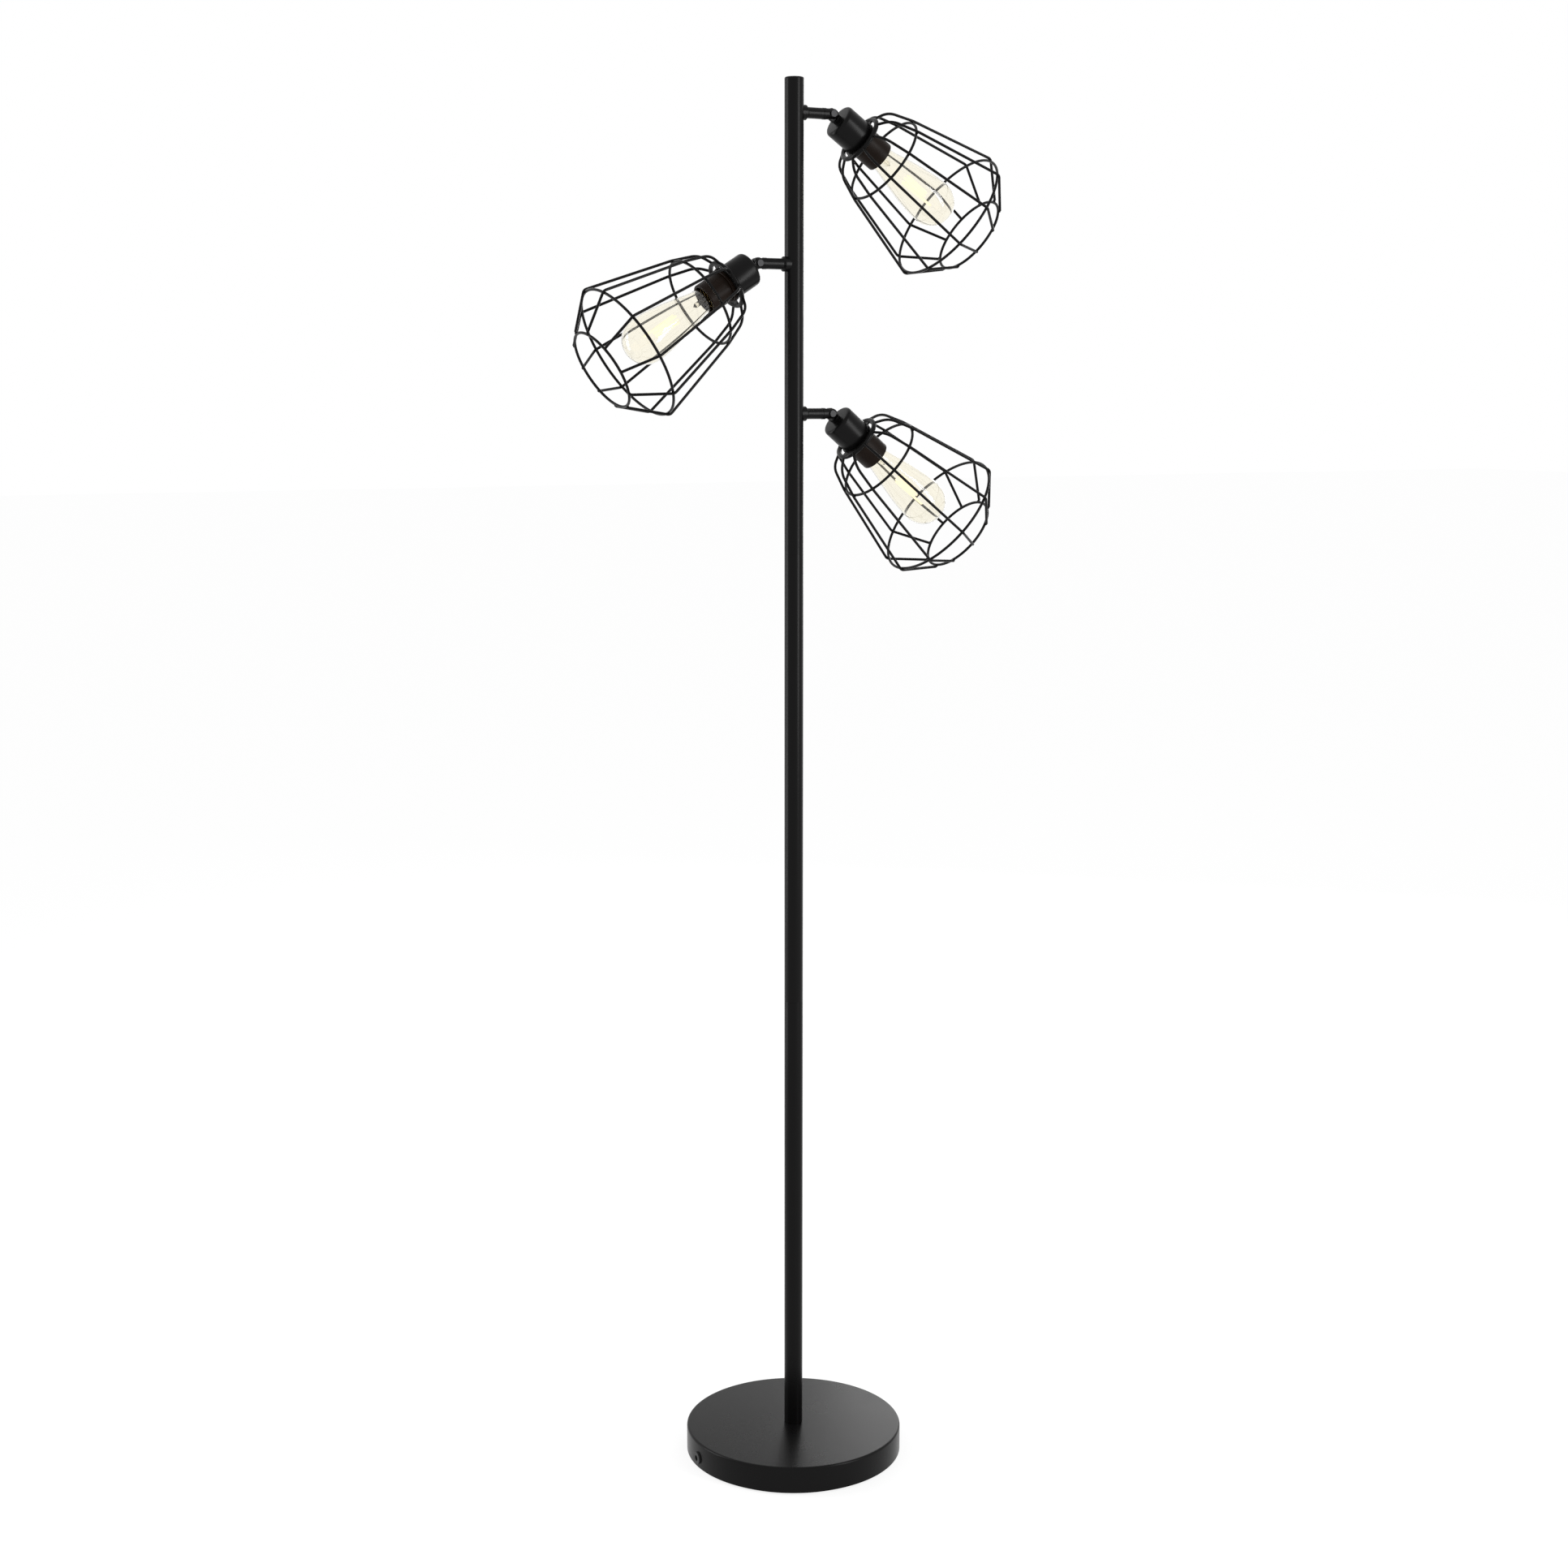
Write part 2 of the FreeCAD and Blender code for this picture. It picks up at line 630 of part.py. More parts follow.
def make_cage_neck(head):
    """The pressed neck plate: a clamped inner land, six vents and a rolled bead."""
    name = head.label("neck")
    middle = f"( {COLLAR} + plate_thickness / 2 )"
    land = tube(name + "_land", "bead_circle / 2", "skirt_diameter / 2 + plate_clearance", COLLAR,
                f"{COLLAR} + plate_thickness")
    bead = bind(doc.addObject("Part::Torus", name + "_bead"), Radius1="bead_circle / 2",
                Radius2="bead_diameter / 2")
    place(bead, (0, 0, middle), FreeCAD.Rotation())
    outer = cylinder(name + "_vent_outer", "vent_outer / 2", "plate_thickness * 3",
                     (0, 0, f"{COLLAR} - plate_thickness"))
    inner = cylinder(name + "_vent_inner", "vent_inner / 2", "plate_thickness * 3",
                     (0, 0, f"{COLLAR} - plate_thickness"))
    bridges = []
    for number in range(3):
        bar = block(f"{name}_bridge{number}", ("bead_circle", "vent_bridge", "plate_thickness * 3"),
                    ("-1 * bead_circle / 2", "-1 * vent_bridge / 2", f"{COLLAR} - plate_thickness"))
        arm = group(f"{name}_bridge{number}_turned", [bar])
        arm.Placement.Rotation = FreeCAD.Rotation(FreeCAD.Vector(0, 0, 1), 60 * number)
        bridges.append(arm)
    vents = cut(name + "_vents", cut(name + "_vent_ring", outer, inner), joined(name + "_bridges", bridges))
    finish(cut(name + "_pressed", joined(name + "_blank", [land, bead]), vents), head.label("cage_neck"),
           head.head_place())


def rounded_wire(corners):
    """A wire through corners (point, bend radius), with a tangent arc at each inner corner."""
    edges = []
    start = corners[0][0]
    for (before, _), (corner, radius), (after, _) in zip(corners, corners[1:], corners[2:]):
        back, ahead = (before - corner).normalize(), (after - corner).normalize()
        half = back.getAngle(ahead) / 2
        reach = radius / math.tan(half)
        middle = corner + (back + ahead).normalize() * (radius / math.sin(half) - radius)
        first, last = corner + back * reach, corner + ahead * reach
        edges.append(Part.makeLine(start, first))
        edges.append(Part.Arc(first, middle, last).toShape())
        start = last
    edges.append(Part.makeLine(start, corners[-1][0]))
    return Part.Wire(edges)


def rib_points():
    """Rib centre line as (circle radius, height above the neck) corners with their bend radii."""
    foot = size(f"{COLLAR} + plate_thickness / 2")
    rows = [
        ("rib_root_circle", "0", "0"),
        ("rib_turn_circle", "rib_turn_height", "rib_turn_radius"),
        ("shoulder_circle", "shoulder_height", "shoulder_radius"),
        ("belly_circle", "belly_height", "belly_radius"),
        ("mouth_circle", "mouth_height", "0"),
    ]
    corners = []
    for circle, height, radius in rows:
        corners.append((FreeCAD.Vector(size(circle) / 2, 0, foot + size(height)), size(radius)))
    return corners


def make_cage(head):
    corners = rib_points()
    root, first = corners[0][0], corners[1][0]
    section = Part.Wire([Part.makeCircle(size("wire_diameter / 2"), root, first - root)])
    rib = rounded_wire(corners).makePipeShell([section], True, False)
    count = int(size("rib_count"))
    ribs = []
    for number in range(count):
        one = rib.copy()
        turn = size(f"{head.name}_roll") + 360 * number / count
        one.rotate(FreeCAD.Vector(0, 0, 0), FreeCAD.Vector(0, 0, 1), turn)
        ribs.append(one)
    wires = doc.addObject("Part::Feature", head.label("rib_wires"))
    wires.Shape = Part.makeCompound(ribs)
    finish(wires, head.label("cage_ribs"), head.head_place())

    inset = "( wire_diameter - weld_depth )"
    hoops = []
    for level in ("shoulder", "belly", "mouth"):
        hoop = bind(doc.addObject("Part::Torus", head.label(level + "_hoop")),
                    Radius1=f"{level}_circle / 2 - {inset}", Radius2="wire_diameter / 2")
        place(hoop, (0, 0, f"{COLLAR} + plate_thickness / 2 + {level}_height"), FreeCAD.Rotation())
        hoops.append(hoop)
    finish(group(head.label("hoops"), hoops), head.label("cage_rings"), head.head_place())


make_base()
make_stud()
make_pole()
for head in HEADS:
    make_arm(head)
    make_swivel(head)
    make_tongue(head)
    make_holder(head)
    make_bulb(head)
    make_cage_neck(head)
    make_cage(head)
finish(group("nipple_set", [nipple(head) for head in HEADS]), "arm_nipples")
finish(group("lock_nut_set", [lock_nut(head) for head in HEADS]), "arm_lock_nuts")

doc.recompute()
for obj in doc.Objects:
    if "Invalid" in obj.State or "Error" in obj.State:
        raise RuntimeError(f"{obj.Label} failed: {obj.State}")
for obj in subparts:
    if obj.Shape.isNull() or not obj.Shape.isValid():
        raise RuntimeError(f"{obj.Label} has no valid shape")
for obj in subparts:
    obj.Shape.exportStep(f"parts/{obj.Label}.step")
    print(f"{obj.Label}: {len(obj.Shape.Solids)} solids, {obj.Shape.Volume / 1000:.2f} cm3")
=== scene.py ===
import json
import math

import bmesh
import bpy
from mathutils import Matrix, Vector
from mathutils.geometry import interpolate_bezier


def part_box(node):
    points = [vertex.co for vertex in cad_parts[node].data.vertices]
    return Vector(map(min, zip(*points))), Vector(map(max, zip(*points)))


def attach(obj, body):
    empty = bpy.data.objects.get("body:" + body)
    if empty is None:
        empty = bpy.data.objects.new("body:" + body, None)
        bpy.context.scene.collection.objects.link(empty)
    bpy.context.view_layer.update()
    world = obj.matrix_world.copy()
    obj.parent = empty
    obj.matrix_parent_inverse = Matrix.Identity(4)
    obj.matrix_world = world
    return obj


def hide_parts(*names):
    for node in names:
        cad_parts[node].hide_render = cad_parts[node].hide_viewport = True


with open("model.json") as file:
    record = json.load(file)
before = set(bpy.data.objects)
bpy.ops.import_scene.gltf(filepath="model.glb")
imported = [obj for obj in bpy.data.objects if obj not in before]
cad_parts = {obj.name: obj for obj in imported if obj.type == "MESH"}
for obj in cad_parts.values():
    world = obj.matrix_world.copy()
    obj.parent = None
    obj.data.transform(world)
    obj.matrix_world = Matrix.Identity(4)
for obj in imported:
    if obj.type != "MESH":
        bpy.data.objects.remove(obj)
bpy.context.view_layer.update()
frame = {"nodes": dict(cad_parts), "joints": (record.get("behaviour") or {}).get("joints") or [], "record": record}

bl_info = {
    "name": "Tree Lamp Looks",
    "version": (1, 0, 0),
    "blender": (4, 5, 0),
    "location": "View3D > Sidebar > Tree Lamp",
    "description": "Builds the visible surfaces of a tree floor lamp around its CAD frame",
    "category": "Object",
}

RECORD = frame["record"]
HEAD_NAMES = ("upper", "middle", "lower")
MM = 0.001

# How finely round shapes, bends and wires are divided.
ROUND_STEPS = 72
BASE_STEPS = 160
STEM_STEPS = 24
DRILL_STEPS = 48
HOOP_STEPS = 120
WIRE_STEPS = 14
BEND_STEPS = 5
BASE_BEND_STEPS = 8
FILLET_STEPS = 8
FLARE_STEPS = 24
TIP_STEPS = 14
WELD_SEGMENTS = 12
WELD_RINGS = 8

# Edges that turn further than this stay sharp.
SHARP_ANGLE = math.radians(40)

# Points nearer the axis than this, in m, lie on it.
ON_AXIS = 1e-7

# Stand, in mm. Overall sizes come from the CAD nodes' boxes.
COVER_WALL = 1.5
COVER_FOOT_EDGE = 0.6
COVER_LIP_EDGE = 0.4
COVER_INNER_EDGE = 1.0
STUD_HOLE_RADIUS = 6.05
OUTLET_RADIUS = 5.05
TUBE_BORE_RADIUS = 9.8
SEAM_EDGE = 0.25
CAP_HEIGHT = 4
CAP_EDGE = 2.2
PLUG_RADIUS = 9.75
PLUG_HOLLOW_RADIUS = 8.25

# Outlines in mm: radius, height along the lamp holder from the tilt pivot, and bend.
CUP = ((4.75, 11, 0), (20, 11, 4.2), (20, 45, 0.5), (18.8, 45, 0.3), (18.8, 12.4, 3.0), (4.75, 12.2, 0))
SLEEVE = ((15, 17.2, 0), (18, 17.2, 0.6), (18, 79, 1.2), (15, 79, 0.8))
RING = ((18.05, 47, 0), (20.45, 47, 0.5), (20.45, 51, 1.0), (18.05, 51, 0.5))
STEM = ((0, 48.4, 0), (6, 48.4, 0), (4.5, 62, 4), (2.6, 92, 1.5), (0, 95, 0))

# Rib corners in mm: radius, height above the collar and bend radius. The last three carry hoops.
COLLAR = 46.0
RIB = ((28.5, 0.0, 0.0), (44.0, 8.0, 24.0), (55.5, 39.0, 60.0), (82.5, 144.5, 6.0), (50.0, 180.5, 0.0))
HOOPS = ("Shoulder", "Belly", "Mouth")
HOOP_INSET = 2.9

# Turn of each cage about its lamp holder, in degrees.
ROLLS = {"upper": 14.5, "middle": 14.4, "lower": 33.4}

# Bulb glass in mm: radii, heights along the lamp holder from the tilt pivot, and the flare's curve handles.
GLASS_NECK = 12.5
GLASS_BELLY = 27.0
GLASS_FOOT = 69.8
GLASS_TIP = 191.0
NECK_LENGTH = 2.2
NECK_HANDLE = (1.0, 20.0)
BELLY_HANDLE = 34.0

# Curve handle of a quarter circle, as a share of its radius.
QUARTER_CIRCLE = 0.5523

# Filament in mm: radius and height of the zigzag's lower and upper corners, and their bend.
FILAMENT_CORNERS = 15
FILAMENT_FOOT = (6.5, 100)
FILAMENT_TOP = (4.5, 164)
FILAMENT_BEND = 0.6

# Finishes by record slot: colour, roughness and metallic.
PLAIN_FINISHES = {
    "black_screw": ((0.014, 0.014, 0.015), 0.4, 0.6),
    "weight": ((0.32, 0.31, 0.3), 0.9, 0.0),
    "pad": ((0.02, 0.02, 0.02), 0.95, 0.0),
    "grommet": ((0.015, 0.015, 0.015), 0.6, 0.0),
    "zinc_steel": ((0.55, 0.55, 0.53), 0.35, 1.0),
    "brass": ((0.42, 0.31, 0.15), 0.48, 1.0),
    "cable": ((0.02, 0.02, 0.02), 0.6, 0.0),
    "porcelain": ((0.82, 0.8, 0.75), 0.5, 0.0),
}

# Stage lamps: place, aim and size in m, and power in W.
LIGHTS = {
    "key_light": ((1.45, -2.55, 1.5), (0, 0, 1.0), (0.6, 1.9), 44),
    "rim_light": ((2.05, 2.2, 1.4), (0, 0, 0.05), (1.3, 1.3), 16),
    "side_light": ((-1.75, 1.05, 1.1), (0, 0, 1.0), (0.7, 2.0), 22),
}

# Floor and surround. The glow lifts the floor to white for the rays that show it.
FLOOR_REACH = 30
FLOOR_GLOW = 1.09
FLOOR_GLOW_SHARE = 0.75
SURROUND_SEEN = 1.0
SURROUND_LIGHT = 0.75

# Camera, fitted to the photograph: place in m, angles in degrees, lens and sensor in mm.
CAMERA_PLACE = (-1.291, -2.428, 1.28)
CAMERA_DOWN = 9.3
CAMERA_ROUND = -27.76
CAMERA_LENS = 54.26
CAMERA_SENSOR = 36.0


def pivot_of(head):
    """The tilt pivot of a head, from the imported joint."""
    joint = next(j for j in frame["joints"] if j["name"] == f"{head}_head_tilt")
    return Vector(joint["pos_m"])


def middle_of(node):
    """The middle of a CAD node's box."""
    low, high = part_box(node)
    return (low + high) / 2


def head_matrix(head):
    """Head space to the row frame: Z along the lamp holder from the pivot, Y as in the row frame."""
    pivot = pivot_of(head)
    along = (middle_of(f"{head}_screw_shell") - pivot).normalized()
    across = Vector((0, 1, 0)).cross(along)
    turn = Matrix((across, Vector((0, 1, 0)), along)).transposed()
    return Matrix.Translation(pivot) @ turn.to_4x4()


class LampSizes(bpy.types.PropertyGroup):
    """Sizes of the lamp's visible surfaces."""

    wire_radius: bpy.props.FloatProperty(
        name="Wire Radius", description="Radius of the cage wire", default=1.6 * MM, unit="LENGTH")
    rib_count: bpy.props.IntProperty(
        name="Ribs", description="Ribs round each cage", default=10, min=3)
    weld_size: bpy.props.FloatProperty(
        name="Weld Size", description="Weld bead radius over the wire radius", default=1.18, subtype="FACTOR")
    base_edge: bpy.props.FloatProperty(
        name="Base Edge", description="Rounding of the base's top edge", default=3.0 * MM, unit="LENGTH")
    glass_wall: bpy.props.FloatProperty(
        name="Glass Wall", description="Wall of the bulb glass", default=0.8 * MM, unit="LENGTH")
    filament_radius: bpy.props.FloatProperty(
        name="Filament Radius", description="Radius of the filament wire", default=0.8 * MM, unit="LENGTH")


class LampColours(bpy.types.PropertyGroup):
    """Colours of the lamp and its stage."""

    paint: bpy.props.FloatVectorProperty(
        name="Paint", description="Coat of the metal parts", subtype="COLOR",
        default=(0.0034, 0.0032, 0.0033))
    phenolic: bpy.props.FloatVectorProperty(
        name="Phenolic", description="Moulded lamp holder sleeve", subtype="COLOR",
        default=(0.008, 0.0038, 0.0018))
    glass: bpy.props.FloatVectorProperty(
        name="Glass", description="Tint of the bulb glass", subtype="COLOR",
        default=(0.978, 0.955, 0.88))
    glow: bpy.props.FloatVectorProperty(
        name="Glow", description="Light of the filament", subtype="COLOR",
        default=(1.0, 0.93, 0.72))
    floor: bpy.props.FloatVectorProperty(
        name="Floor", description="Floor of the stage", subtype="COLOR",
        default=(0.9, 0.9, 0.9))


def sizes():
    return bpy.context.scene.lamp_sizes


def colours():
    return bpy.context.scene.lamp_colours


# Nodes


def math_node(tree, operation, *values):
    """The result of a math node, whose values are numbers or sockets."""
    node = tree.nodes.new("ShaderNodeMath")
    node.operation = operation
    for socket, value in zip(node.inputs, values):
        if isinstance(value, bpy.types.NodeSocket):
            tree.links.new(value, socket)
        else:
            socket.default_value = value
    return node.outputs[0]


def vector_node(tree, **axes):
    """A vector from a socket for each named axis."""
    node = tree.nodes.new("ShaderNodeCombineXYZ")
    for axis, value in axes.items():
        tree.links.new(value, node.inputs[axis])
    return node.outputs["Vector"]


# Materials


def grain_group():
    """Shared surface finish: slow colour drift, roughness drift and a fine bump in object space."""
    found = bpy.data.node_groups.get("surface_grain")
    if found:
        return found
    tree = bpy.data.node_groups.new("surface_grain", "ShaderNodeTree")
    face = tree.interface
    for name, kind, default in (
        ("Color", "NodeSocketColor", (0.5, 0.5, 0.5, 1)),
        ("Drift", "NodeSocketFloat", 0.15),
        ("Roughness", "NodeSocketFloat", 0.4),
        ("Roughness Drift", "NodeSocketFloat", 0.08),
        ("Grain Scale", "NodeSocketFloat", 900.0),
        ("Bump", "NodeSocketFloat", 0.06),
    ):
        face.new_socket(name, in_out="INPUT", socket_type=kind).default_value = default
    face.new_socket("Color", in_out="OUTPUT", socket_type="NodeSocketColor")
    face.new_socket("Roughness", in_out="OUTPUT", socket_type="NodeSocketFloat")
    face.new_socket("Normal", in_out="OUTPUT", socket_type="NodeSocketVector")
    nodes, links = tree.nodes, tree.links
    given = nodes.new("NodeGroupInput").outputs
    result = nodes.new("NodeGroupOutput").inputs
    spot = nodes.new("ShaderNodeTexCoord")
    slow = nodes.new("ShaderNodeTexNoise")
    slow.inputs["Scale"].default_value = 14.0
    slow.inputs["Detail"].default_value = 4.0
    fine = nodes.new("ShaderNodeTexNoise")
    fine.inputs["Detail"].default_value = 2.0
    links.new(spot.outputs["Object"], slow.inputs["Vector"])
    links.new(spot.outputs["Object"], fine.inputs["Vector"])
    links.new(given["Grain Scale"], fine.inputs["Scale"])
    offset = math_node(tree, "SUBTRACT", slow.outputs["Fac"], 0.5)
    tone = math_node(tree, "MULTIPLY_ADD", offset, given["Drift"], 1.0)
    shade = nodes.new("ShaderNodeVectorMath")
    shade.operation = "SCALE"
    links.new(given["Color"], shade.inputs[0])
    links.new(tone, shade.inputs["Scale"])
    links.new(shade.outputs[0], result["Color"])
    matt = math_node(tree, "MULTIPLY_ADD", offset, given["Roughness Drift"], given["Roughness"])
    links.new(matt, result["Roughness"])
    bump = nodes.new("ShaderNodeBump")
    bump.inputs["Distance"].default_value = 0.0004
    links.new(given["Bump"], bump.inputs["Strength"])
    links.new(fine.outputs["Fac"], bump.inputs["Height"])
    links.new(bump.outputs["Normal"], result["Normal"])
    return tree


def finished_material(name, colour, grain, fed, plain):
    """A material whose shader is fed by the shared finish and has plain values beside it.

    grain holds the finish's own values, fed the shader socket that each of its outputs feeds, and plain
    the other shader values.
    """
    found = bpy.data.materials.get(name)
    if found:
        return found
    material = bpy.data.materials.new(name)
    material.use_nodes = True
    tree = material.node_tree
    shader = tree.nodes["Principled BSDF"]
    finish = tree.nodes.new("ShaderNodeGroup")
    finish.node_tree = grain_group()
    finish.inputs["Color"].default_value = (*colour, 1)
    for socket, value in grain.items():
        finish.inputs[socket].default_value = value
    for output, socket in fed.items():
        tree.links.new(finish.outputs[output], shader.inputs[socket])
    for socket, value in plain.items():
        shader.inputs[socket].default_value = value
    return material


def solid_material(name, colour, grain, metallic=0.0, specular=0.5):
    """An opaque finish whose colour, gloss and fine bump vary over the surface."""
    return finished_material(
        name, colour, grain,
        fed={"Color": "Base Color", "Roughness": "Roughness", "Normal": "Normal"},
        plain={"Metallic": metallic, "Specular IOR Level": specular})


def paint_material():
    """Satin powder coat with a fine orange peel."""
    return solid_material(
        "look_black_paint", colours().paint,
        {"Roughness": 0.28, "Grain Scale": 1100.0, "Bump": 0.14}, specular=0.1)


def phenolic_material():
    """Dark moulded plastic."""
    return solid_material(
        "look_phenolic", colours().phenolic,
        {"Roughness": 0.42, "Grain Scale": 500.0, "Bump": 0.1}, specular=0.1)


def glass_material():
    """Clear blown glass: a faint warm tint that drifts, and a slow ripple."""
    return finished_material(
        "look_bulb_glass", colours().glass,
        grain={"Drift": 0.02, "Grain Scale": 60.0, "Bump": 0.05},
        fed={"Color": "Base Color", "Normal": "Normal"},
        plain={"Roughness": 0.0, "IOR": 1.45, "Transmission Weight": 1.0})


def glow_material():
    """Lit filament whose light is a little uneven along the wire."""
    return finished_material(
        "look_filament", colours().glow,
        grain={"Drift": 0.3, "Roughness": 0.5},
        fed={"Color": "Emission Color", "Roughness": "Roughness"},
        plain={"Base Color": (0.3, 0.2, 0.08, 1), "Emission Strength": 1.0})


def slot_material(slot):
    """The procedural finish of a CAD node, by its record slot."""
    own = {
        "black_paint": paint_material,
        "phenolic": phenolic_material,
        "bulb_glass": glass_material,
        "filament": glow_material,
    }
    if slot in own:
        return own[slot]()
    colour, roughness, metallic = PLAIN_FINISHES[slot]
    return solid_material("look_" + slot, colour, {"Roughness": roughness}, metallic)


# Meshes


def placed(name, data):
    """A new object, linked to the scene."""
    item = bpy.data.objects.new(name, data)
    bpy.context.scene.collection.objects.link(item)
    return item


def plain_mesh(source):
    """The mesh that an object's modifiers make. The object itself is removed."""
    graph = bpy.context.evaluated_depsgraph_get()
    data = bpy.data.meshes.new_from_object(source.evaluated_get(graph))
    bpy.data.objects.remove(source)
    return data


def add_piece(name, data, material, body):
    """Link a finished mesh as a piece that rides on a CAD body."""
    data.materials.clear()
    data.materials.append(material)
    data.shade_smooth()
    data.set_sharp_from_angle(angle=SHARP_ANGLE)
    piece = placed(name, data)
    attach(piece, body)
    return piece


def corners_mm(corners):
    """Outline corners in m, from corners in mm."""
    return [(radius * MM, height * MM, bend * MM) for radius, height, bend in corners]


def rounded(corners, steps=BEND_STEPS):
    """A closed outline of (radius, height, bend) corners, each bend eased by a quadratic curve."""
    points = []
    for index, (radius, height, bend) in enumerate(corners):
        corner = Vector((radius, height))
        if bend <= 0:
            points.append(corner)
            continue
        before = Vector(corners[index - 1][:2]) - corner
        after = Vector(corners[(index + 1) % len(corners)][:2]) - corner
        half = before.angle(after) / 2
        reach = min(bend / math.tan(half), before.length / 2, after.length / 2)
        for step in range(steps + 1):
            part = step / steps
            first = corner + before.normalized() * reach * (1 - part)
            last = corner + after.normalized() * reach * part
            points.append(first.lerp(last, part))
    return points


def turned(name, points, closed, steps):
    """A mesh turned about Z from (radius, height) points. An open outline starts and ends on the axis."""
    mesh = bmesh.new()
    rows = []
    for point in points:
        if point.x < ON_AXIS:
            rows.append([mesh.verts.new((0, 0, point.y))])
            continue
        row = []
        for step in range(steps):
            angle = 2 * math.pi * step / steps
            row.append(mesh.verts.new((point.x * math.cos(angle), point.x * math.sin(angle), point.y)))
        rows.append(row)
    pairs = list(zip(rows, rows[1:]))
    if closed:
        pairs.append((rows[-1], rows[0]))
    for lower, upper in pairs:
        for step in range(steps):
            following = (step + 1) % steps
            ring = [lower[step % len(lower)], lower[following % len(lower)],
                    upper[following % len(upper)], upper[step % len(upper)]]
            corners = list(dict.fromkeys(ring))
            if len(corners) > 2:
                mesh.faces.new(corners)
    bmesh.ops.recalc_face_normals(mesh, faces=mesh.faces)
    data = bpy.data.meshes.new(name)
    mesh.to_mesh(data)
    mesh.free()
    return data


def lathe(name, points, closed, matrix, material, body, steps=ROUND_STEPS):
    """A turned piece, put in its place by a matrix."""
    data = turned(name, points, closed, steps)
    data.transform(matrix)
    return add_piece(name, data, material, body)


def drilled(data, low, high, radius):
    """The mesh with a round hole along X, through the middle of a box."""
    shaft = bmesh.new()
    # Half a step of roll keeps the drill's edges off the mesh's own.
    roll = Matrix.Rotation(math.pi / DRILL_STEPS, 4, "X")
    place = Matrix.Translation((low + high) / 2) @ roll @ Matrix.Rotation(math.radians(90), 4, "Y")
    bmesh.ops.create_cone(shaft, cap_ends=True, segments=DRILL_STEPS, radius1=radius, radius2=radius,
                          depth=high.x - low.x, matrix=place)
    tool = bpy.data.meshes.new("drill")
    shaft.to_mesh(tool)
    shaft.free()
    drill = placed("drill", tool)
    blank = placed("blank", data)
    cut = blank.modifiers.new("hole", "BOOLEAN")
    cut.operation = "DIFFERENCE"
    cut.solver = "EXACT"
    cut.object = drill
    result = plain_mesh(blank)
    bpy.data.objects.remove(drill)
    return result


# Geometry node trees


def new_tree(name, inputs):
    """A tree with named inputs, and the sockets that give their values inside it."""
    tree = bpy.data.node_groups.new(name, "GeometryNodeTree")
    tree.interface.new_socket("Geometry", in_out="INPUT", socket_type="NodeSocketGeometry")
    for label, kind in inputs:
        tree.interface.new_socket(label, in_out="INPUT", socket_type=kind)
    tree.interface.new_socket("Geometry", in_out="OUTPUT", socket_type="NodeSocketGeometry")
    return tree, tree.nodes.new("NodeGroupInput").outputs


def swept_wire(tree, given, path):
    """Nodes that fillet a path by its "bend" attribute and sweep a round wire along it."""
    nodes, links = tree.nodes, tree.links
    bend = nodes.new("GeometryNodeInputNamedAttribute")
    bend.data_type = "FLOAT"
    bend.inputs["Name"].default_value = "bend"
    curve = nodes.new("GeometryNodeMeshToCurve")
    links.new(path, curve.inputs["Mesh"])
    fillet = nodes.new("GeometryNodeFilletCurve")
    fillet.mode = "POLY"
    fillet.inputs["Count"].default_value = FILLET_STEPS
    links.new(curve.outputs["Curve"], fillet.inputs["Curve"])
    links.new(bend.outputs["Attribute"], fillet.inputs["Radius"])
    return sweep(tree, given, fillet.outputs["Curve"])


def sweep(tree, given, curve):
    """A round wire along a curve."""
    nodes, links = tree.nodes, tree.links
    section = nodes.new("GeometryNodeCurvePrimitiveCircle")
    section.inputs["Resolution"].default_value = WIRE_STEPS
    links.new(given["Wire Radius"], section.inputs["Radius"])
    wire = nodes.new("GeometryNodeCurveToMesh")
    wire.inputs["Fill Caps"].default_value = True
    links.new(curve, wire.inputs["Curve"])
    links.new(section.outputs["Curve"], wire.inputs["Profile Curve"])
    return wire.outputs["Mesh"]


def moved(tree, shape, offset):
    """A shape shifted by an offset."""
    node = tree.nodes.new("GeometryNodeTransform")
    tree.links.new(shape, node.inputs["Geometry"])
    tree.links.new(offset, node.inputs["Translation"])
    return node.outputs["Geometry"]


def polar_points(tree, given):
    """Points at the origin, one per rib, and the turn of each about Z."""
    nodes, links = tree.nodes, tree.links
    points = nodes.new("GeometryNodePoints")
    links.new(given["Ribs"], points.inputs["Count"])
    number = nodes.new("GeometryNodeInputIndex")
    share = math_node(tree, "DIVIDE", number.outputs["Index"], given["Ribs"])
    turn = math_node(tree, "MULTIPLY_ADD", share, 2 * math.pi, given["Roll"])
    return points.outputs["Points"], vector_node(tree, Z=turn)


def instanced(tree, points, turn, shape):
    """Copies of a shape at points, each with its own turn."""
    nodes, links = tree.nodes, tree.links
    spread = nodes.new("GeometryNodeInstanceOnPoints")
    links.new(points, spread.inputs["Points"])
    links.new(shape, spread.inputs["Instance"])
    links.new(turn, spread.inputs["Rotation"])
    return spread.outputs["Instances"]


def close_tree(tree, given, parts):
    """Join the parts, make instances real and set the material."""
    nodes, links = tree.nodes, tree.links
    join = nodes.new("GeometryNodeJoinGeometry")
    for part in parts:
        links.new(part, join.inputs["Geometry"])
    real = nodes.new("GeometryNodeRealizeInstances")
    links.new(join.outputs["Geometry"], real.inputs["Geometry"])
    paint = nodes.new("GeometryNodeSetMaterial")
    links.new(real.outputs["Geometry"], paint.inputs["Geometry"])
    links.new(given["Material"], paint.inputs["Material"])
    result = nodes.new("NodeGroupOutput")
    links.new(paint.outputs["Geometry"], result.inputs["Geometry"])
    return tree


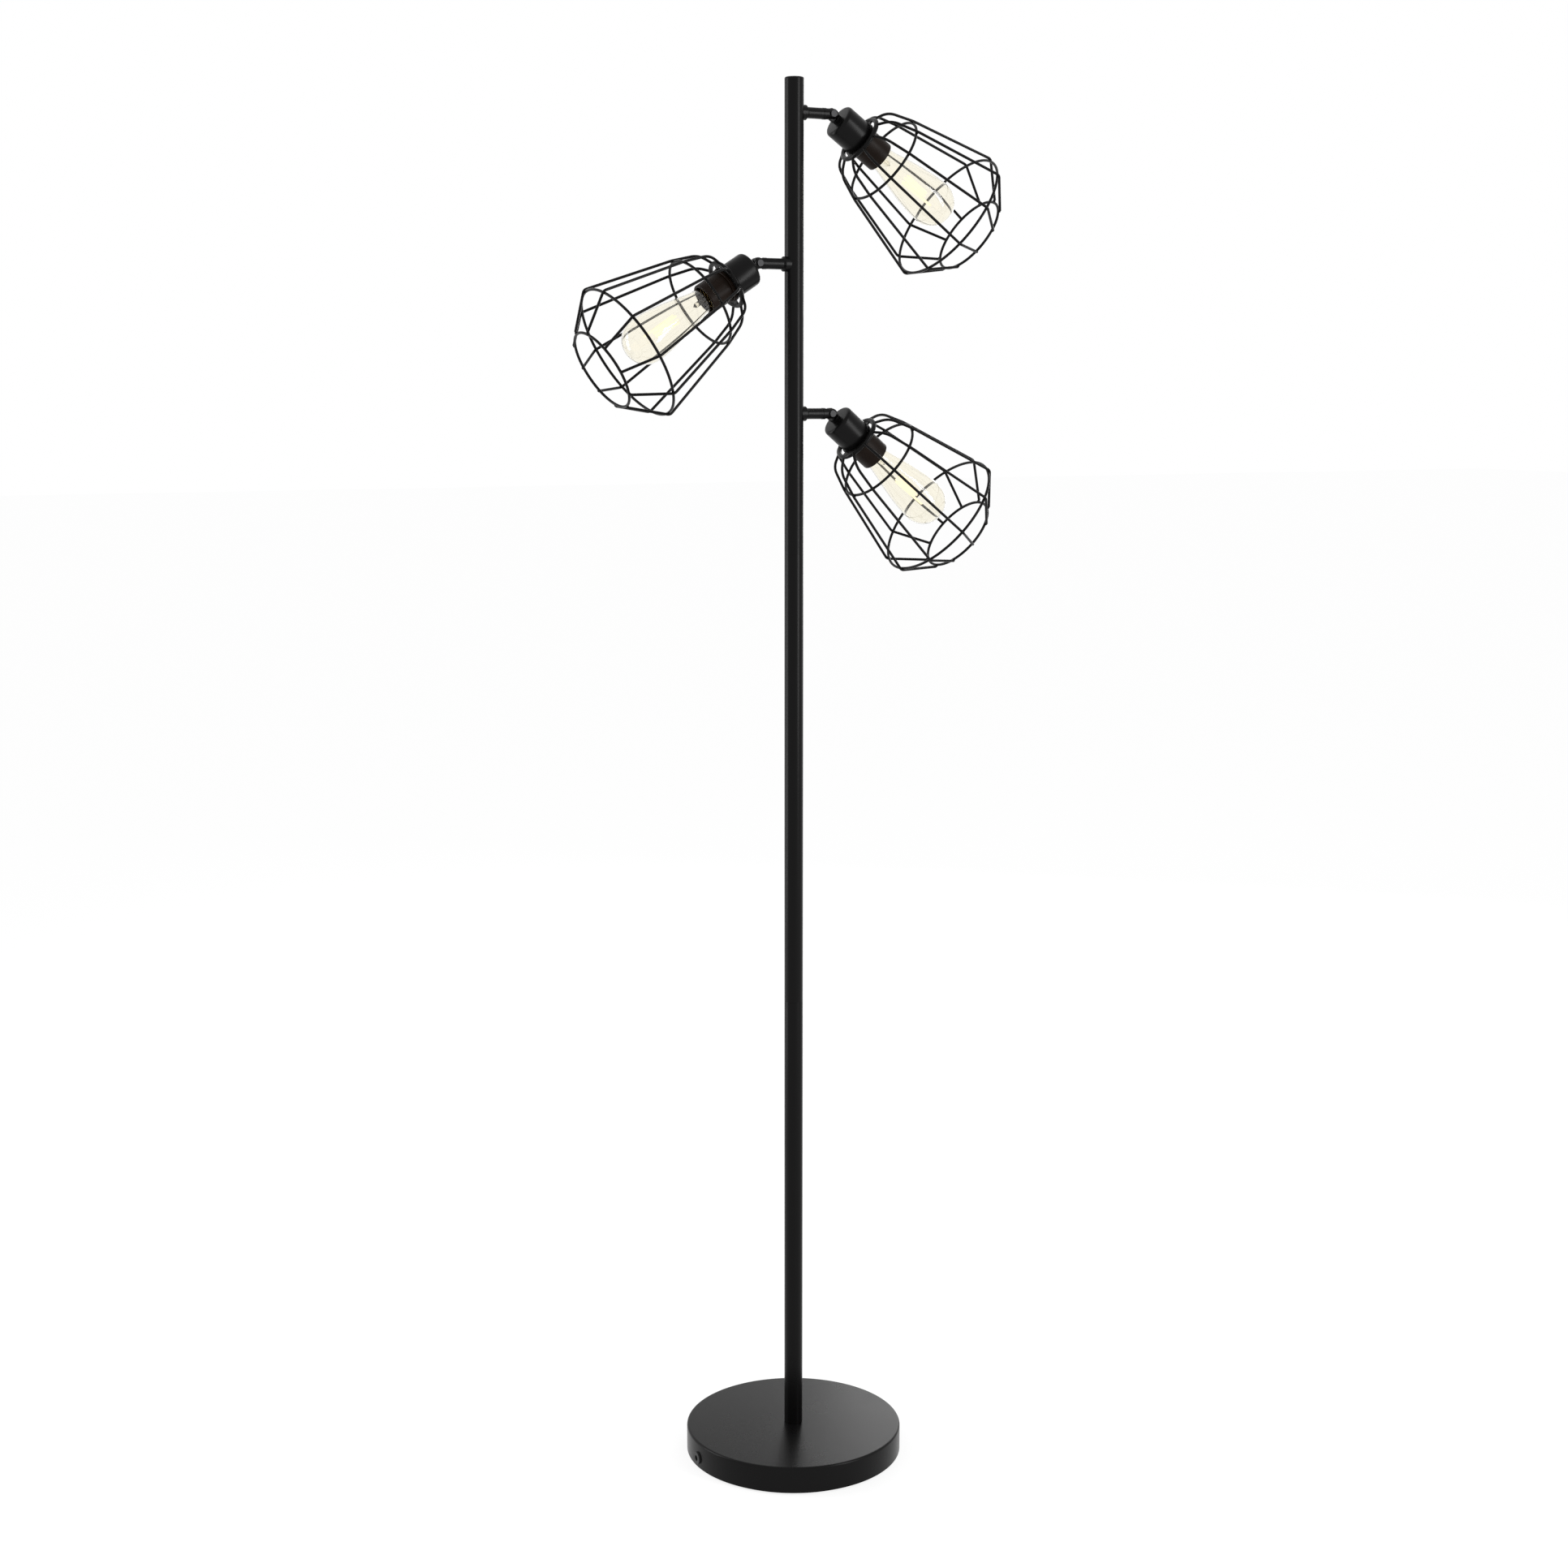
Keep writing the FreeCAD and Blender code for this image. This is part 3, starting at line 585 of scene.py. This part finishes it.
def cage_tree():
    """Ribs swept along a path and spread about the axis, three hoops, and a weld at each crossing."""
    found = bpy.data.node_groups.get("cage_wires")
    if found:
        return found
    inputs = [("Wire Radius", "NodeSocketFloat"), ("Ribs", "NodeSocketInt"), ("Roll", "NodeSocketFloat"),
              ("Weld Size", "NodeSocketFloat"), ("Material", "NodeSocketMaterial")]
    for hoop in HOOPS:
        inputs += [(hoop + " Radius", "NodeSocketFloat"), (hoop + " Height", "NodeSocketFloat")]
    tree, given = new_tree("cage_wires", inputs)
    nodes, links = tree.nodes, tree.links
    points, turn = polar_points(tree, given)
    parts = [instanced(tree, points, turn, swept_wire(tree, given, given["Geometry"]))]
    bead = nodes.new("GeometryNodeMeshUVSphere")
    bead.inputs["Segments"].default_value = WELD_SEGMENTS
    bead.inputs["Rings"].default_value = WELD_RINGS
    bead_radius = math_node(tree, "MULTIPLY", given["Wire Radius"], given["Weld Size"])
    links.new(bead_radius, bead.inputs["Radius"])
    for hoop in HOOPS:
        radius, height = given[hoop + " Radius"], given[hoop + " Height"]
        circle = nodes.new("GeometryNodeCurvePrimitiveCircle")
        circle.inputs["Resolution"].default_value = HOOP_STEPS
        links.new(radius, circle.inputs["Radius"])
        lifted = moved(tree, circle.outputs["Curve"], vector_node(tree, Z=height))
        parts.append(sweep(tree, given, lifted))
        reach = math_node(tree, "ADD", radius, given["Wire Radius"])
        weld = moved(tree, bead.outputs["Mesh"], vector_node(tree, X=reach, Z=height))
        parts.append(instanced(tree, points, turn, weld))
    return close_tree(tree, given, parts)


def wire_tree():
    """A round wire along a path."""
    found = bpy.data.node_groups.get("bent_wire")
    if found:
        return found
    inputs = [("Wire Radius", "NodeSocketFloat"), ("Material", "NodeSocketMaterial")]
    tree, given = new_tree("bent_wire", inputs)
    return close_tree(tree, given, [swept_wire(tree, given, given["Geometry"])])


def path_mesh(name, points):
    """An open path of (position, bend radius) points, as a mesh of edges."""
    data = bpy.data.meshes.new(name)
    edges = [(step, step + 1) for step in range(len(points) - 1)]
    data.from_pydata([position for position, _ in points], edges, [])
    bends = data.attributes.new("bend", "FLOAT", "POINT")
    bends.data.foreach_set("value", [bend for _, bend in points])
    return data


def grown(name, path, tree, values, matrix, body):
    """Run a tree over a path and keep the result as a plain mesh in the row frame."""
    source = placed(name + "_path", path)
    modifier = source.modifiers.new("shape", "NODES")
    modifier.node_group = tree
    sockets = {s.name: s.identifier for s in tree.interface.items_tree if s.in_out == "INPUT"}
    for label, value in values.items():
        modifier[sockets[label]] = value
    data = plain_mesh(source)
    data.name = name
    data.transform(matrix)
    return add_piece(name, data, values["Material"], body)


# Operators


class LAMP_OT_cad_finishes(bpy.types.Operator):
    """Give every CAD node the finish of its record slot"""

    bl_idname = "lamp.cad_finishes"
    bl_label = "CAD Finishes"

    def execute(self, context):
        slots = {entry["node"]: entry["material_slot"] for entry in RECORD["subparts"]}
        for name, node in frame["nodes"].items():
            node.data.materials.clear()
            node.data.materials.append(slot_material(slots[name]))
        return {"FINISHED"}


class LAMP_OT_base(bpy.types.Operator):
    """Build the base cover with its rounded top edge and the cord outlet's hole"""

    bl_idname = "lamp.base"
    bl_label = "Base Cover"

    def execute(self, context):
        low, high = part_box("base_cover")
        inner = high.x - COVER_WALL * MM
        ceiling = high.z - COVER_WALL * MM
        points = rounded([
            (STUD_HOLE_RADIUS * MM, high.z, 0),
            (high.x, high.z, sizes().base_edge),
            (high.x, low.z, COVER_FOOT_EDGE * MM),
            (inner, low.z, COVER_LIP_EDGE * MM),
            (inner, ceiling, COVER_INNER_EDGE * MM),
            (STUD_HOLE_RADIUS * MM, ceiling, 0),
        ], BASE_BEND_STEPS)
        shell = turned("base_cover_skin", points, True, BASE_STEPS)
        data = drilled(shell, *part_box("cord_grommet"), OUTLET_RADIUS * MM)
        cover = add_piece("base_cover_skin", data, paint_material(), "stand")
        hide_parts("base_cover")
        return {"FINISHED"}


class LAMP_OT_pole(bpy.types.Operator):
    """Build the pole's smooth tubes and its cap"""

    bl_idname = "lamp.pole"
    bl_label = "Pole"

    def execute(self, context):
        edge = SEAM_EDGE * MM
        bore = TUBE_BORE_RADIUS * MM
        for node in ("pole_lower", "pole_middle"):
            low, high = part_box(node)
            points = rounded([
                (bore, low.z, 0),
                (high.x, low.z, edge),
                (high.x, high.z, edge),
                (bore, high.z, 0),
            ])
            tube = lathe(node + "_skin", points, True, Matrix(), paint_material(), "stand")
            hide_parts(node)
        low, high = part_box("pole_cap")
        seat = high.z - CAP_HEIGHT * MM
        points = rounded([
            (0, high.z, 0),
            (high.x, high.z, CAP_EDGE * MM),
            (high.x, seat, edge),
            (PLUG_RADIUS * MM, seat, 0),
            (PLUG_RADIUS * MM, low.z, edge),
            (PLUG_HOLLOW_RADIUS * MM, low.z, edge),
            (PLUG_HOLLOW_RADIUS * MM, seat, 0),
            (0, seat, 0),
        ])
        cap = lathe("pole_cap_skin", points, False, Matrix(), paint_material(), "stand")
        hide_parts("pole_cap")
        return {"FINISHED"}


class LAMP_OT_holders(bpy.types.Operator):
    """Build each lamp holder: cup, sleeve and clamping ring"""

    bl_idname = "lamp.holders"
    bl_label = "Lamp Holders"

    def execute(self, context):
        kinds = (
            ("cup", CUP, "socket_cup", "black_paint"),
            ("sleeve", SLEEVE, "socket_skirt", "phenolic"),
            ("ring", RING, "shade_ring", "phenolic"),
        )
        for head in HEAD_NAMES:
            for label, outline, node, slot in kinds:
                points = rounded(corners_mm(outline))
                piece = lathe(f"{head}_{label}_skin", points, True, head_matrix(head), slot_material(slot),
                              f"{head}_head")
                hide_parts(f"{head}_{node}")
        return {"FINISHED"}


class LAMP_OT_cages(bpy.types.Operator):
    """Build each welded wire cage"""

    bl_idname = "lamp.cages"
    bl_label = "Wire Cages"

    def execute(self, context):
        rib = [((radius * MM, 0, (COLLAR + height) * MM), bend * MM) for radius, height, bend in RIB]
        for head in HEAD_NAMES:
            values = {
                "Wire Radius": sizes().wire_radius,
                "Ribs": sizes().rib_count,
                "Roll": math.radians(ROLLS[head]),
                "Weld Size": sizes().weld_size,
                "Material": paint_material(),
            }
            for hoop, (radius, height, _) in zip(HOOPS, RIB[-len(HOOPS):]):
                values[hoop + " Radius"] = (radius - HOOP_INSET) * MM
                values[hoop + " Height"] = (COLLAR + height) * MM
            cage = grown(head + "_cage_skin", path_mesh(head + "_rib", rib), cage_tree(), values,
                         head_matrix(head), f"{head}_head")
            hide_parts(f"{head}_cage_ribs", f"{head}_cage_rings")
        return {"FINISHED"}


def glass_outline():
    """The bulb's outer outline: a straight neck, a slow flare to the belly and a round tip."""
    start = GLASS_FOOT + NECK_LENGTH
    dome = GLASS_TIP - GLASS_BELLY
    flare = interpolate_bezier(
        (GLASS_NECK, start), (GLASS_NECK + NECK_HANDLE[0], start + NECK_HANDLE[1]),
        (GLASS_BELLY, dome - BELLY_HANDLE), (GLASS_BELLY, dome), FLARE_STEPS)
    tip = interpolate_bezier(
        (GLASS_BELLY, dome), (GLASS_BELLY, dome + QUARTER_CIRCLE * GLASS_BELLY),
        (QUARTER_CIRCLE * GLASS_BELLY, GLASS_TIP), (0, GLASS_TIP), TIP_STEPS)
    return [Vector(point) * MM for point in ((GLASS_NECK, GLASS_FOOT), *flare, *tip[1:])]


def inner_outline(outer, wall):
    """The outline a wall's thickness inside an outer one that ends on the axis."""
    past_tip = Vector((-outer[-2].x, outer[-2].y))
    inner = [outer[0] - Vector((wall, 0))]
    for before, here, after in zip(outer, outer[1:], outer[2:] + [past_tip]):
        along = (after - before).normalized()
        inner.append(here + Vector((-along.y, along.x)) * wall)
    inner[-1].x = 0
    return inner


class LAMP_OT_bulbs(bpy.types.Operator):
    """Build each bulb's glass envelope"""

    bl_idname = "lamp.bulbs"
    bl_label = "Bulb Glass"

    def execute(self, context):
        outer = glass_outline()
        points = outer + inner_outline(outer, sizes().glass_wall)[::-1]
        for head in HEAD_NAMES:
            piece = lathe(f"{head}_glass_skin", points, True, head_matrix(head), glass_material(),
                          f"{head}_head")
            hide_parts(f"{head}_bulb_glass")
        return {"FINISHED"}


def filament_path():
    """The zigzag round the stem, between lower and upper corners."""
    path = []
    for step in range(FILAMENT_CORNERS):
        angle = 2 * math.pi * step / FILAMENT_CORNERS
        radius, height = FILAMENT_FOOT if step % 2 else FILAMENT_TOP
        spot = (radius * MM * math.cos(angle), radius * MM * math.sin(angle), height * MM)
        path.append((spot, FILAMENT_BEND * MM))
    return path


class LAMP_OT_filaments(bpy.types.Operator):
    """Build each bulb's glass stem and its zigzag filament"""

    bl_idname = "lamp.filaments"
    bl_label = "Filaments"

    def execute(self, context):
        for head in HEAD_NAMES:
            place, body = head_matrix(head), f"{head}_head"
            points = rounded(corners_mm(STEM))
            stem = lathe(f"{head}_stem_skin", points, False, place, glass_material(), body, STEM_STEPS)
            values = {"Wire Radius": sizes().filament_radius, "Material": glow_material()}
            wire = grown(f"{head}_filament_skin", path_mesh(head + "_filament", filament_path()), wire_tree(),
                         values, place, body)
            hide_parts(f"{head}_bulb_filament")
        return {"FINISHED"}


def seen_mask(tree):
    """1 for the rays that show the surround: camera, mirror and glass rays."""
    path = tree.nodes.new("ShaderNodeLightPath")
    value = path.outputs["Is Camera Ray"]
    for kind in ("Is Glossy Ray", "Is Transmission Ray"):
        value = math_node(tree, "MAXIMUM", value, path.outputs[kind])
    return value


def mixed(tree, share, first, second):
    """The mix of two shader nodes."""
    mix = tree.nodes.new("ShaderNodeMixShader")
    tree.links.new(share, mix.inputs["Fac"])
    tree.links.new(first.outputs[0], mix.inputs[1])
    tree.links.new(second.outputs[0], mix.inputs[2])
    return mix.outputs[0]


class LAMP_OT_stage(bpy.types.Operator):
    """Build the floor, lights, white surround and camera"""

    bl_idname = "lamp.stage"
    bl_label = "Stage"

    def execute(self, context):
        self.floor()
        self.surround(context)
        for name, (place, aim, size, power) in LIGHTS.items():
            self.light(name, place, aim, size, power)
        self.camera(context)
        context.scene.view_settings.view_transform = "Standard"
        return {"FINISHED"}

    def floor(self):
        """Lay a pale floor that keeps the lamp's shadow."""
        material = bpy.data.materials.new("floor")
        material.use_nodes = True
        tree = material.node_tree
        shader = tree.nodes["Principled BSDF"]
        shader.inputs["Base Color"].default_value = (*colours().floor, 1)
        shader.inputs["Roughness"].default_value = 0.9
        shader.inputs["Specular IOR Level"].default_value = 0.0
        white = tree.nodes.new("ShaderNodeEmission")
        white.inputs["Strength"].default_value = FLOOR_GLOW
        share = math_node(tree, "MULTIPLY", seen_mask(tree), FLOOR_GLOW_SHARE)
        tree.links.new(mixed(tree, share, shader, white), tree.nodes["Material Output"].inputs["Surface"])
        reach = FLOOR_REACH
        corners = [(-reach, -reach, 0), (reach, -reach, 0), (reach, reach, 0), (-reach, reach, 0)]
        data = bpy.data.meshes.new("floor")
        data.from_pydata(corners, [], [(0, 1, 2, 3)])
        data.materials.append(material)
        placed("floor", data)

    def surround(self, context):
        """Make the world white where it is seen and plainer where it only lights."""
        world = bpy.data.worlds.new("studio")
        world.use_nodes = True
        context.scene.world = world
        tree = world.node_tree
        tree.nodes.clear()
        seen = tree.nodes.new("ShaderNodeBackground")
        lit = tree.nodes.new("ShaderNodeBackground")
        for background, strength in ((seen, SURROUND_SEEN), (lit, SURROUND_LIGHT)):
            background.inputs["Color"].default_value = (1, 1, 1, 1)
            background.inputs["Strength"].default_value = strength
        result = tree.nodes.new("ShaderNodeOutputWorld")
        tree.links.new(mixed(tree, seen_mask(tree), lit, seen), result.inputs["Surface"])

    def light(self, name, place, aim, size, power):
        """Add a soft rectangular lamp that the camera and the glass don't show."""
        data = bpy.data.lights.new(name, "AREA")
        data.shape = "RECTANGLE"
        data.size, data.size_y = size
        data.energy = power
        lamp = placed(name, data)
        lamp.location = place
        lamp.rotation_euler = (Vector(aim) - Vector(place)).to_track_quat("-Z", "Y").to_euler()
        lamp.visible_camera = False
        lamp.visible_transmission = False

    def camera(self, context):
        """Set up the photograph's view."""
        data = bpy.data.cameras.new("camera")
        data.sensor_width = CAMERA_SENSOR
        data.lens = CAMERA_LENS
        camera = placed("camera", data)
        camera.location = CAMERA_PLACE
        camera.rotation_euler = (math.radians(90 - CAMERA_DOWN), 0, math.radians(CAMERA_ROUND))
        context.scene.camera = camera


class LAMP_PT_panel(bpy.types.Panel):
    """Tree lamp sizes, colours and build steps"""

    bl_idname = "LAMP_PT_panel"
    bl_label = "Tree Lamp"
    bl_space_type = "VIEW_3D"
    bl_region_type = "UI"
    bl_category = "Tree Lamp"

    def draw(self, context):
        for group in (context.scene.lamp_sizes, context.scene.lamp_colours):
            column = self.layout.column(align=True)
            for name in group.__annotations__:
                column.prop(group, name)
        for operator in OPERATORS:
            self.layout.operator(operator.bl_idname)


GROUPS = (LampSizes, LampColours)
OPERATORS = (LAMP_OT_cad_finishes, LAMP_OT_base, LAMP_OT_pole, LAMP_OT_holders, LAMP_OT_cages, LAMP_OT_bulbs,
             LAMP_OT_filaments, LAMP_OT_stage)


def register():
    for cls in (*GROUPS, *OPERATORS, LAMP_PT_panel):
        bpy.utils.register_class(cls)
    bpy.types.Scene.lamp_sizes = bpy.props.PointerProperty(type=LampSizes)
    bpy.types.Scene.lamp_colours = bpy.props.PointerProperty(type=LampColours)


def unregister():
    del bpy.types.Scene.lamp_colours
    del bpy.types.Scene.lamp_sizes
    for cls in reversed((*GROUPS, *OPERATORS, LAMP_PT_panel)):
        bpy.utils.unregister_class(cls)


def main():
    register()
    bpy.ops.lamp.cad_finishes()
    bpy.ops.lamp.base()
    bpy.ops.lamp.pole()
    bpy.ops.lamp.holders()
    bpy.ops.lamp.cages()
    bpy.ops.lamp.bulbs()
    bpy.ops.lamp.filaments()
    bpy.ops.lamp.stage()


if __name__ == "__main__":
    main()
